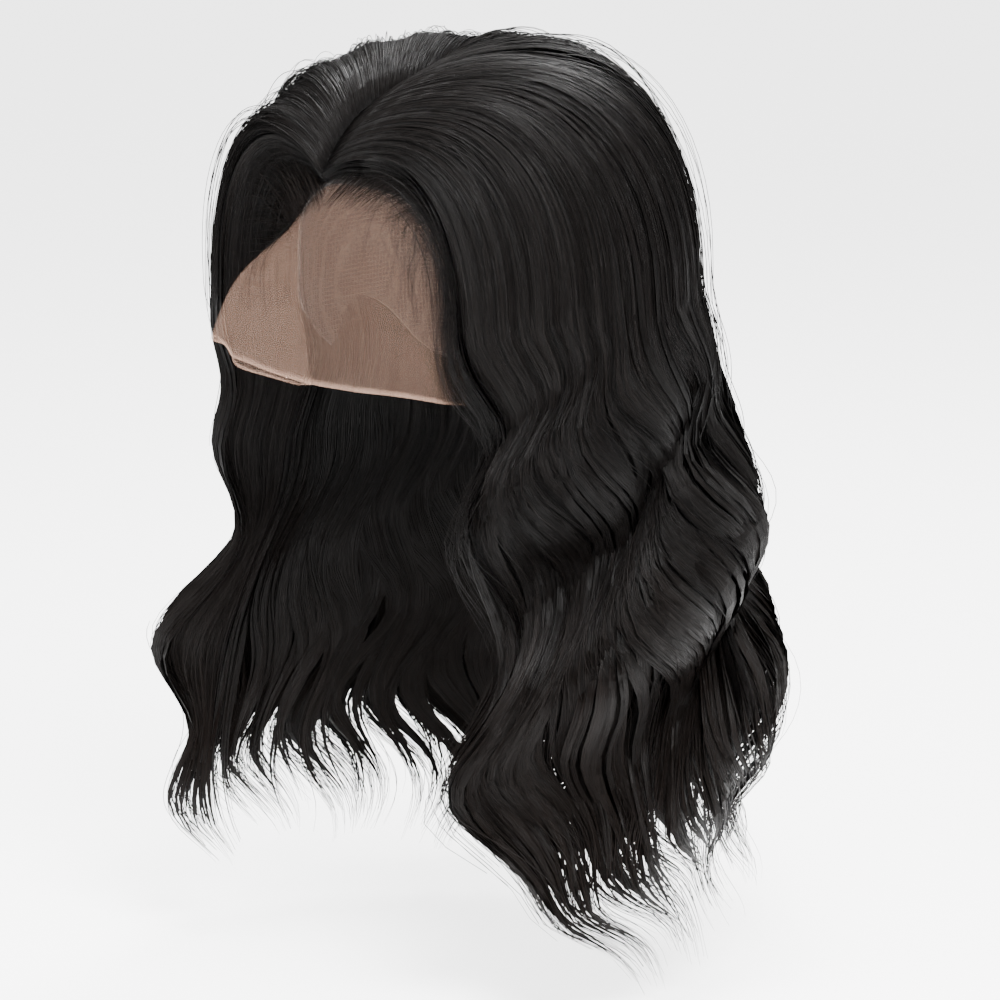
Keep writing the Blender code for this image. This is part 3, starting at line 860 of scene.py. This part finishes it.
# %% Single hairs of a lock
HAIRS_A_LOCK = 120
STRAYS_A_LOCK = 26
TIP_HAIRS_A_LOCK = 52
HAIR_CORNERS = 3
HAIR_STATIONS = 24
HAIR_RADIUS = 0.20
HAIR_GIRTH = 1.2
HAIR_MARGIN = 0.01
HAIR_REACH = (0.22, 0.42)
HAIR_LATE = 0.16
HAIR_SHORTER = (0, 24)
HAIR_SINK = 0.5
HAIR_KNOTS = 5
HAIR_ROOT_RISE = 5
HAIR_THIN = 0.3
TIP_RUN_OUT = 0.05
ROOT_RUN_IN = 0.02


def add_round_hairs(bundle, random, paths, radius, down):
    """Three-sided tubes along paths, with the finish of single hairs."""
    count = len(paths)
    rings = rings_along(paths, outward_of(paths), radius, radius, HAIR_CORNERS)
    bundle.add(rings, random.random(count), down, np.full(count, HAIR_GIRTH), STRAND_SLOT)


def add_hairs(bundle, random, row, count, stray, rise, depth, begins):
    """Single hairs over a stretch of the lock. Stray is how far they wander aside in shares, rise
    how far they stand off in millimetres, depth the range that they lie in, and begins the range
    that they start from."""
    start, stop, tip_z, proud, flick = row[1:]
    middle = (start + stop) / 2
    share = random.uniform(start - HAIR_MARGIN, stop + HAIR_MARGIN, count)[:, None]
    begin = np.maximum(random.uniform(*begins, count), 0)
    end = np.minimum(begin + random.uniform(*HAIR_REACH, count), 1.0)
    down = stations_of(begin, end, HAIR_STATIONS)
    free = ease(down * HAIR_ROOT_RISE)
    share = share + stray * wander(random, count, down, HAIR_KNOTS) * free
    raised = proud + rise * (1 + wander(random, count, down, HAIR_KNOTS)) / 2 * free
    depths = random.uniform(*depth, count)[:, None]
    late = random.normal(0, HAIR_LATE, count)[:, None]
    tips = (tip_z + random.uniform(*HAIR_SHORTER, count))[:, None]
    paths = hair_paths(share, down, depths, tips, middle, raised, flick, late, HAIR_SINK)
    run_out = (end[:, None] - down) / TIP_RUN_OUT
    run_in = (down - begin[:, None]) / ROOT_RUN_IN + HAIR_THIN
    radius = HAIR_RADIUS * random.uniform(*SIZES, count)[:, None]
    radius = radius * between(HAIR_THIN, 1, np.minimum(run_out, run_in))
    add_round_hairs(bundle, random, paths, radius, down)


# %% The open front face of the outermost locks
FRONT_SHARE = 0.984
EDGE_WISPS = 15
EDGE_END = (0.84, 1.0)
EDGE_DEPTHS = (0.03, 0.97)
EDGE_WEAVE = 0.02
EDGE_ASIDE = 0.006
EDGE_LATE = 0.12
EDGE_TAPER = 0.3
EDGE_POINT = 0.04
EDGE_ROOT = 0.3
EDGE_HALF_WIDTH = 3.4
EDGE_HALF_THICK = 0.3
EDGE_TWIST = 0.2
LOOSE_HAIRS = 90
LOOSE_BEGIN = (0.05, 0.35)
LOOSE_END = (0.5, 0.95)
LOOSE_ASIDE = 0.055
LOOSE_STEADY = 0.4
LOOSE_DEPTHS = (0.05, 0.9)
LOOSE_LATE = 0.25
LOOSE_SIZES = (0.6, 1.2)
LOOSE_TAPER = 8


def add_edge_wisps(bundle, random, row):
    """Wisps side by side over the open front face of an outermost lock, from its inside to its
    outside, with their flat sides facing round the cap."""
    start, stop, tip_z, _, flick = row[1:]
    side = np.sign(start)
    count = EDGE_WISPS
    down = stations_of(np.zeros(count), random.uniform(*EDGE_END, count), WISP_STATIONS)
    weave = EDGE_WEAVE * wander(random, count, down, DRIFT_KNOTS)
    depths = np.linspace(*EDGE_DEPTHS, count)[:, None] + weave
    share = side * (FRONT_SHARE + EDGE_ASIDE * wander(random, count, down, DRIFT_KNOTS))
    late = random.normal(0, EDGE_LATE, count)[:, None]
    paths = hair_paths(share, down, depths, tip_z, (start + stop) / 2, 0.0, flick, late, 0.0)
    bearing = np.arctan2(paths[..., 0], paths[..., 1])
    facing = side * np.stack([np.cos(bearing), -np.sin(bearing), 0 * bearing], axis=-1)
    taper = between(EDGE_POINT, 1, (1 - down) / EDGE_TAPER)
    width = EDGE_HALF_WIDTH * between(EDGE_ROOT, 1, down * ROOT_RUN) * taper
    twist = EDGE_TWIST * wander(random, count, down, DRIFT_KNOTS)
    rings = rings_along(paths, facing, width, EDGE_HALF_THICK * taper, WISP_CORNERS, twist)
    bundle.add(rings, random.random(count), down, np.full(count, EDGE_HALF_WIDTH * 4), WISP_SLOT)


def add_loose_hairs(bundle, random, row):
    """Single hairs that hang a little ahead of an outermost lock's front face."""
    start, stop, tip_z, _, flick = row[1:]
    count = LOOSE_HAIRS
    begin = random.uniform(*LOOSE_BEGIN, count)
    down = stations_of(begin, random.uniform(*LOOSE_END, count), HAIR_STATIONS)
    aside = LOOSE_ASIDE * random.random(count)[:, None]
    aside = aside * (LOOSE_STEADY + (1 - LOOSE_STEADY) * wander(random, count, down, DRIFT_KNOTS))
    share = np.sign(start) * (FRONT_SHARE + aside)
    depths = random.uniform(*LOOSE_DEPTHS, count)[:, None]
    late = random.normal(0, LOOSE_LATE, count)[:, None]
    paths = hair_paths(share, down, depths, tip_z, (start + stop) / 2, 0.0, flick, late, 0.0)
    radius = HAIR_RADIUS * random.uniform(*LOOSE_SIZES, count)[:, None]
    radius = radius * between(HAIR_THIN, 1, (1 - down) * LOOSE_TAPER)
    add_round_hairs(bundle, random, paths, radius, down)


# %% Build the locks
SEED = 11
OUTERMOST = 0.95
STRAND_KINDS = [
    # hairs,          stray, rise mm, depths,       begins
    (HAIRS_A_LOCK,     0.012, 2.2,    (0.95, 1.01), (-0.25, 0.75)),
    (STRAYS_A_LOCK,    0.045, 9.0,    (0.95, 1.02), (-0.25, 0.75)),
    (TIP_HAIRS_A_LOCK, 0.030, 1.0,    (0.10, 1.00), (0.58, 0.72)),
]


def build_lock(number, row):
    """One lock's piece, in place of its solid."""
    name, start, stop, tip_z, proud, flick = row
    random = np.random.default_rng(SEED + number)
    bundle = Bundle()
    body, along = body_rings(random, start, stop, tip_z, proud, flick)
    bundle.add(body, random.random(1), along, np.array([BODY_GIRTH]), WISP_SLOT)
    add_wisps(bundle, random, row)
    for kind in STRAND_KINDS:
        add_hairs(bundle, random, row, *kind)
    if max(abs(start), abs(stop)) > OUTERMOST:
        add_edge_wisps(bundle, random, row)
        add_loose_hairs(bundle, random, row)
    piece = bundle.make(name.replace("_lock", "_hair"), [wisp_finish, strand_finish])
    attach(piece, "root")
    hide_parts(name)
    return piece


hair_pieces = [build_lock(number, row) for number, row in enumerate(LOCKS)]
print("hair triangles:", sum(triangles(piece) for piece in hair_pieces))

# %% [markdown]
# ## The cap
#
# The cap is a stretchy black net. Its solid already has the right form, so it stays, and only its
# finish is new: small openings, darker than the threads, pressed into the surface. Modelled threads
# would take millions of faces, and hardly any of the cap is seen. The net is a group, because the
# lace is made of the same mesh, only finer.

# %% Net group
CELL_DISORDER = 0.25
THREAD_MIDDLE = 0.05
THREAD_EDGE = 0.22
net, group_in, group_out = new_group(
    "net_mesh",
    [("Vector", "NodeSocketVector", None), ("Mesh Size", "NodeSocketFloat", 1000.0)],
    [("Threads", "NodeSocketFloat"), ("Height", "NodeSocketFloat")],
)
cells = net.nodes.new("ShaderNodeTexVoronoi")
cells.feature = "DISTANCE_TO_EDGE"
cells.inputs["Randomness"].default_value = CELL_DISORDER
net.links.new(group_in.outputs["Vector"], cells.inputs["Vector"])
net.links.new(group_in.outputs["Mesh Size"], cells.inputs["Scale"])
threads = map_range(net, cells.outputs["Distance"], THREAD_MIDDLE, THREAD_EDGE, 1.0, 0.0)
net.links.new(threads, group_out.inputs["Threads"])
net.links.new(threads, group_out.inputs["Height"])
print("net_mesh has", len(net.nodes), "nodes")

# %% Cap finish
CAP_HOLES_A_METRE = 420.0
CAP_HOLE = (0.006, 0.005, 0.005)
CAP_THREAD = (0.035, 0.028, 0.025)
CAP_BUMP_DEPTH = 0.0006


def place_net(tree, shader, vector, holes_a_metre, strength, depth):
    """Places the net in a material, presses it into the surface, and gives its threads."""
    group = tree.nodes.new("ShaderNodeGroup")
    group.node_tree = net
    group.inputs["Mesh Size"].default_value = holes_a_metre
    tree.links.new(vector, group.inputs["Vector"])
    bump = tree.nodes.new("ShaderNodeBump")
    bump.inputs["Strength"].default_value = strength
    bump.inputs["Distance"].default_value = depth
    tree.links.new(group.outputs["Height"], bump.inputs["Height"])
    tree.links.new(bump.outputs[0], shader.inputs["Normal"])
    return group.outputs["Threads"]


cap_finish, tree, shader = principled("cap_net")
where = tree.nodes.new("ShaderNodeTexCoord").outputs["Object"]
threads = place_net(tree, shader, where, CAP_HOLES_A_METRE, 0.8, CAP_BUMP_DEPTH)
tree.links.new(mix_colour(tree, threads, CAP_HOLE, CAP_THREAD), shader.inputs["Base Color"])
shader.inputs["Roughness"].default_value = 0.8
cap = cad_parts["wig_cap"]
cap.data.materials.clear()
cap.data.materials.append(cap_finish)
print("the cap keeps its", triangles(cap), "triangles")

# %% [markdown]
# ## The lace
#
# The lace is a sheer net of skin-coloured thread. It is sewn to the cap along the hairline and
# hangs free in front until it is cut to fit. A cloth simulation could drape it, but its folds are
# known, so it is one sheet worked out at once: a row of points on the seam, a row on the free edge,
# and straight rows between them that belly out and crease softly.

# %% Lace surface
LACE_EDGE = {
    "along": [-1.00, -0.86, -0.74, -0.62, -0.50, -0.34, -0.17, 0.00, 0.22, 0.45, 0.66, 0.84, 1.00],
    "x":     [-66.0, -77.0, -89.0, -92.0, -85.0, -64.0, -37.0, -8.0, 22.0, 46.0, 61.0, 64.0, 62.0],
    "y":     [-54.0, -64.0, -82.0, -97.0, -102., -108., -112., -114., -111., -102., -89., -76., -65.],
    "z":     [-158., -157., -147., -130., -131., -136., -139., -141., -142., -143., -146., -150., -152.],
}
LACE_BULGE = 6.0
LACE_FLARE = 12.0
FLARE_AT = -0.66
FLARE_WIDTH = 0.16
LACE_CREASE = 2.2
LACE_CREASES = 5
CREASE_FROM = 0.1
CREASE_RUN = 0.4
FINE_CREASE = 0.8
FINE_CREASE_TURN = 61
FINE_CREASE_LEAN = 3
FINE_FROM = 0.3
FINE_RUN = 0.3
BELLY_SHARE = 0.8
BELLY_RUN = 0.4
FLARE_RISE = 0.7
LACE_TUCK = 9.0
TUCK_Z = -118.0
TUCK_RUN = 10.0
LACE_DRAW_IN = 0.06
HAIRLINE_SHARE = 0.9
CAP_FRONT_RIM_Z = -116.0
SEAM_GAP = 0.5
JUST_AHEAD = 1.01
LACE_COLUMNS = 150
LACE_ROWS = 34
LACE_THREAD = 0.3


def seam(along):
    """The seam: over the dome from the part to the widest level, then down to the ear tab, just
    ahead of the cap's front edge."""
    side = np.where(along >= 0, 1.0, -1.0)
    reach = np.minimum(np.abs(along) / HAIRLINE_SHARE, 1)
    down = np.maximum(np.abs(along) - HAIRLINE_SHARE, 0) / (1 - HAIRLINE_SHARE)

    def edge(share):
        top = on_dome(share, reach, CAP_WALL / 2)
        z = WIDEST_Z + (CAP_FRONT_RIM_Z - WIDEST_Z) * down
        bearing = bearing_of(share, z)
        low = on_plan(skirt_radius(bearing, z) + CAP_WALL / 2, bearing, z)
        return np.where((reach < 1)[..., None], top, low)

    at = edge(side)
    return at + unit(edge(side * JUST_AHEAD) - at) * SEAM_GAP


def tucked(at):
    """Draws the lace in under the hair, where the hair hangs in front of it."""
    bearing = np.degrees(np.arctan2(at[..., 0], at[..., 1]))
    z = at[..., 2]
    edge = np.where(bearing > 0, level("left_edge", z), level("right_edge", z))
    below = np.maximum(0.0, TUCK_Z - z)
    under = ease((edge + LACE_TUCK - np.abs(bearing)) / LACE_TUCK) * ease(below / TUCK_RUN)
    radius = np.hypot(at[..., 0], at[..., 1])
    most = skirt_radius(bearing, z) + CAP_WALL / 2 - LACE_DRAW_IN * below
    return on_plan(radius + (np.minimum(radius, most) - radius) * under, bearing, z)


def lace_point(along, down, out=0.0):
    """A point of the lace: a straight run from the seam to the free edge, pushed forward by the
    belly (half a sine down it), by the flare of its right side (the same, under a bell curve
    across it) and by creases (sines across it that grow down it)."""
    top = seam(along)
    low = np.stack([smooth(along, LACE_EDGE["along"], LACE_EDGE[axis]) for axis in "xyz"], axis=-1)
    at = top + (low - top) * down[..., None]
    forward = np.stack([at[..., 0] / CAP_HALF_WIDTH, at[..., 1] / CAP_HALF_LENGTH, 0 * down], axis=-1)
    crease = np.sin(2 * math.pi * LACE_CREASES * along) * down
    crease = crease * ease((-along - CREASE_FROM) / CREASE_RUN)
    fine_crease = np.sin(FINE_CREASE_TURN * along + FINE_CREASE_LEAN * down) * down**2
    fine_crease = FINE_CREASE * fine_crease * ease((-along - FINE_FROM) / FINE_RUN)
    belly = np.sin(math.pi * down) * ease((BELLY_SHARE - np.abs(along)) / BELLY_RUN)
    flare = np.sin(math.pi * down**FLARE_RISE)
    flare = flare * np.exp(-(((along - FLARE_AT) / FLARE_WIDTH) ** 2))
    push = LACE_CREASE * crease + fine_crease + LACE_BULGE * belly + LACE_FLARE * flare + out
    return tucked(at + unit(forward) * push[..., None])


print("middle of the lace's free edge:", lace_point(np.zeros(1), np.ones(1)).round(), "mm")


# %% Lace material
LACE_HOLES_A_METRE = 900.0
LACE_BUMP_DEPTH = 0.0002
LACE_DEEP = (0.52, 0.30, 0.21)
LACE_PALE = (0.66, 0.42, 0.31)
MOTTLE_A_METRE = (60, 60, 1)
THREAD_COVER = 0.085
HOLE_COVER = 0.003
CUT_EDGE = 0.14
CUT_FROM = 0.965
CUT_TO = 0.99


def lace_finish():
    """Sheer net: skin-coloured threads with open holes, as alpha, and a denser strip along the cut
    edge, where the threads crowd."""
    material, tree, shader = principled("lace_net")
    uv = tree.nodes.new("ShaderNodeUVMap")
    uv.uv_map = "lace"
    threads = place_net(tree, shader, uv.outputs[0], LACE_HOLES_A_METRE, 0.4, LACE_BUMP_DEPTH)
    mottle = stretched_noise(tree, uv.outputs[0], MOTTLE_A_METRE, detail=2.0)
    tree.links.new(mix_colour(tree, mottle, LACE_DEEP, LACE_PALE), shader.inputs["Base Color"])
    shader.inputs["Roughness"].default_value = 0.65
    cover = math_node(tree, "MULTIPLY", threads, THREAD_COVER)
    cover = math_node(tree, "ADD", cover, HOLE_COVER)
    cut_edge = map_range(tree, attribute(tree, "down"), CUT_FROM, CUT_TO, 0.0, CUT_EDGE)
    tree.links.new(math_node(tree, "ADD", cover, cut_edge), shader.inputs["Alpha"])
    return material


lace_net = lace_finish()
print("lace finish:", lace_net.name)


# %% Make the lace
def grid_mesh(name, points, uv_name, uvs, material):
    """One mesh from a grid of points in millimetres, rows by columns, with a UV for each point."""
    rows, columns, _ = points.shape
    r = np.arange(rows - 1)[:, None]
    c = np.arange(columns - 1)[None]
    first = r * columns + c
    quads = np.stack([first, first + 1, first + columns + 1, first + columns], axis=-1).reshape(-1, 4)
    mesh = bpy.data.meshes.new(name)
    mesh.from_pydata((points.reshape(-1, 3) * MM).tolist(), [], quads.tolist())
    corner_uvs = uvs.reshape(-1, 2)[quads.reshape(-1)]
    mesh.uv_layers.new(name=uv_name).data.foreach_set("uv", corner_uvs.reshape(-1))
    mesh.materials.append(material)
    mesh.shade_smooth()
    obj = bpy.data.objects.new(name, mesh)
    bpy.context.scene.collection.objects.link(obj)
    return obj


def grid_lengths(points):
    """How far along its row and down its column each point of a grid lies, in metres."""
    across = np.linalg.norm(np.diff(points, axis=1), axis=-1)
    down = np.linalg.norm(np.diff(points, axis=0), axis=-1)
    u = np.concatenate([np.zeros((points.shape[0], 1)), np.cumsum(across, axis=1)], axis=1)
    v = np.concatenate([np.zeros((1, points.shape[1])), np.cumsum(down, axis=0)], axis=0)
    return u * MM, v * MM


lace_along, lace_down = np.meshgrid(np.linspace(-1, 1, LACE_COLUMNS), np.linspace(0, 1, LACE_ROWS))
lace_grid = lace_point(lace_along, lace_down)
u, v = grid_lengths(lace_grid)
lace = grid_mesh("lace_panel", lace_grid, "lace", np.stack([u, v], axis=-1), lace_net)
down_layer = lace.data.attributes.new("down", "FLOAT", "POINT")
down_layer.data.foreach_set("value", lace_down.reshape(-1))
wall = lace.modifiers.new("thread", "SOLIDIFY")
wall.thickness = LACE_THREAD * MM
wall.offset = 0
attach(lace, "root")
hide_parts("lace_front")

# %% [markdown]
# ## The hairline
#
# Along the front, single hairs are knotted into the lace one by one and swept back over the locks.
# They hide the cap's edge and give a soft, brownish line. A painted edge would stay a hard line, so
# each hair is modelled, as a curve of three points: its knot on the lace, a point that pulls it into
# the flow, and its end among the hair of the front lock. A few, left short, fall over the lace.

# %% Hairline hairs
KNOTS = 760
KNOT_SPAN = (-0.88, 0.9)
KNOT_DEPTH = 0.13
KNOT_OFF = 0.4
KNOT_STATIONS = 11
KNOT_RADIUS = 0.17
KNOT_SIZES = (0.6, 1.2)
KNOT_GIRTH = 1.0
ONLY_SLOT = 0
SWEPT_SHARES = (0.90, 0.975)
SWEPT_TIP_Z = -440.0
SWEEP = 0.07
SWEEP_MORE = 0.10
PULL_DEPTH = 0.75
END_DEPTH = 0.985
ROOT_BROWN = 0.7
SHORT_HAIRS = 46
SHORT_STATIONS = 14
RIGHT_SPAN = (-0.7, -0.3)
LEFT_SPAN = (0.3, 0.86)
RIGHT_EVERY = 4
SHORT_BOW = (-0.03, 0.05)
SHORT_ASIDE = 0.05
SHORT_START = 0.02
SHORT_REACH = (0.15, 0.7)
SHORT_OFF = 0.7
SHORT_RISE = 2.2
SHORT_BROWN = 0.3
SHORT_BROWNER = 0.6
END_THIN = 0.25
END_TURN = 0.12


def swept_hairs(random, count):
    """Curves from knots on the lace: (1 - t) squared, 2 t (1 - t) and t squared of three points."""
    along = random.uniform(*KNOT_SPAN, count)
    knot = lace_point(along, KNOT_DEPTH * random.random(count) ** 2, KNOT_OFF)
    down = DOME_SHARE * np.abs(along) / HAIRLINE_SHARE
    share = np.where(along < 0, -1.0, 1.0) * random.uniform(*SWEPT_SHARES, count)

    def among_hair(at, depth):
        return hair_paths(share, at, depth, SWEPT_TIP_Z, share, 1.0, 0.0, 0.0, 0.0)

    pull = among_hair(down + SWEEP * random.uniform(0.5, 1, count), PULL_DEPTH)
    end = among_hair(down + SWEEP + SWEEP_MORE * random.random(count), END_DEPTH)
    t = np.linspace(0, 1, KNOT_STATIONS)[None, :, None]
    paths = (1 - t) ** 2 * knot[:, None] + 2 * t * (1 - t) * pull[:, None] + t * t * end[:, None]
    return paths, np.broadcast_to(1 - ROOT_BROWN * t[..., 0], paths.shape[:2])


def short_hairs(random, count):
    """Short hairs over the lace: down it from the hairline, with a bow of half a sine aside."""
    t = np.linspace(0, 1, SHORT_STATIONS)[None]
    on_right, on_left = random.uniform(*RIGHT_SPAN, count), random.uniform(*LEFT_SPAN, count)
    start = np.where(np.arange(count) % RIGHT_EVERY == 0, on_right, on_left)[:, None]
    bow = random.normal(*SHORT_BOW, count)[:, None] * np.sin(math.pi * t)
    aside = random.normal(0, SHORT_ASIDE, count)[:, None] * t
    along = start + bow + aside
    down = SHORT_START + random.uniform(*SHORT_REACH, count)[:, None] * t
    off = SHORT_OFF + SHORT_RISE * np.sin(math.pi * t) + 0 * along
    return lace_point(along, down, off), SHORT_BROWN + SHORT_BROWNER * t + 0 * along


hairline_random = np.random.default_rng(SEED)
bundle = Bundle()
swept = swept_hairs(hairline_random, KNOTS)
short = short_hairs(hairline_random, SHORT_HAIRS)
for paths, along in (swept, short):
    count = len(paths)
    bend = np.sin(math.pi * np.linspace(END_TURN, 1, paths.shape[1]))[None]
    ends = END_THIN + (1 - END_THIN) * bend
    radius = KNOT_RADIUS * hairline_random.uniform(*KNOT_SIZES, count)[:, None] * ends
    rings = rings_along(paths, outward_of(paths), radius, radius, HAIR_CORNERS)
    bundle.add(rings, hairline_random.random(count), along, np.full(count, KNOT_GIRTH), ONLY_SLOT)
hairline = bundle.make("hairline_hair", [strand_finish])
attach(hairline, "root")
print("hairline triangles:", triangles(hairline))

# %% [markdown]
# ## The room
#
# A pale floor and a pale world give the photograph's bright, plain setting. The floor glows more
# for the camera than for the hair, because a floor bright enough to look white would turn black
# hair grey from below. Soft area lights stand to the left, to the right and above, so that streaks
# of light run over the crown and the waves.

# %% Floor
FLOOR_DROP = 0.006
FLOOR_HALF = 8.0
FLOOR_GLOW = 0.8
FLOOR_GLOW_SEEN = 3.2
FLOOR_GREY = (0.90, 0.90, 0.90)
FLOOR_PALE = (0.94, 0.94, 0.94)
GRAIN_A_METRE = (3, 3, 3)
WHITE = (1, 1, 1, 1)
floor_finish, tree, shader = principled("pale_floor")
shader.inputs["Roughness"].default_value = 0.9
where = tree.nodes.new("ShaderNodeTexCoord").outputs["Object"]
grain = stretched_noise(tree, where, GRAIN_A_METRE, detail=2.0)
tree.links.new(mix_colour(tree, grain, FLOOR_GREY, FLOOR_PALE), shader.inputs["Base Color"])
shader.inputs["Emission Color"].default_value = WHITE
seen = tree.nodes.new("ShaderNodeLightPath").outputs["Is Camera Ray"]
glow = map_range(tree, seen, 0.0, 1.0, FLOOR_GLOW, FLOOR_GLOW_SEEN)
tree.links.new(glow, shader.inputs["Emission Strength"])
floor_z = cad_box[0][2] - FLOOR_DROP
floor_corners = [(-1, -1), (1, -1), (1, 1), (-1, 1)]
floor_points = [(x * FLOOR_HALF, y * FLOOR_HALF, floor_z) for x, y in floor_corners]
floor_mesh = bpy.data.meshes.new("floor")
floor_mesh.from_pydata(floor_points, [], [(0, 1, 2, 3)])
floor_mesh.materials.append(floor_finish)
floor = bpy.data.objects.new("floor", floor_mesh)
bpy.context.scene.collection.objects.link(floor)
print("floor at", round(float(floor_z) / MM), "mm")

# %% World and lights
DIM_ROOM = 0.5
CENTRE = np.array([0.0, 0.0, -0.2])
LIGHTS = [
    # name, azimuth, elevation, distance m, size m, watts
    ("key", 62, 48, 1.6, 0.7, 80),
    ("fill", -15, 30, 1.8, 0.9, 20),
    ("top", 40, 80, 1.5, 0.7, 55),
    ("rim", 200, 45, 1.8, 0.7, 45),
]
world = bpy.data.worlds.new("studio")
world.use_nodes = True
backdrop = world.node_tree.nodes["Background"]
backdrop.inputs["Color"].default_value = WHITE
backdrop.inputs["Strength"].default_value = DIM_ROOM
bpy.context.scene.world = world
for name, azimuth, elevation, distance, width, watts in LIGHTS:
    a, e = math.radians(azimuth), math.radians(elevation)
    away = np.array([math.sin(a) * math.cos(e), -math.cos(a) * math.cos(e), math.sin(e)])
    data = bpy.data.lights.new(name, "AREA")
    data.shape = "DISK"
    data.size = width
    data.energy = watts
    light = bpy.data.objects.new(name, data)
    light.location = CENTRE + away * distance
    light.rotation_euler = (math.pi / 2 - e, 0, a)
    bpy.context.scene.collection.objects.link(light)
print(len(LIGHTS), "lights,", sum(row[-1] for row in LIGHTS), "watts in all")
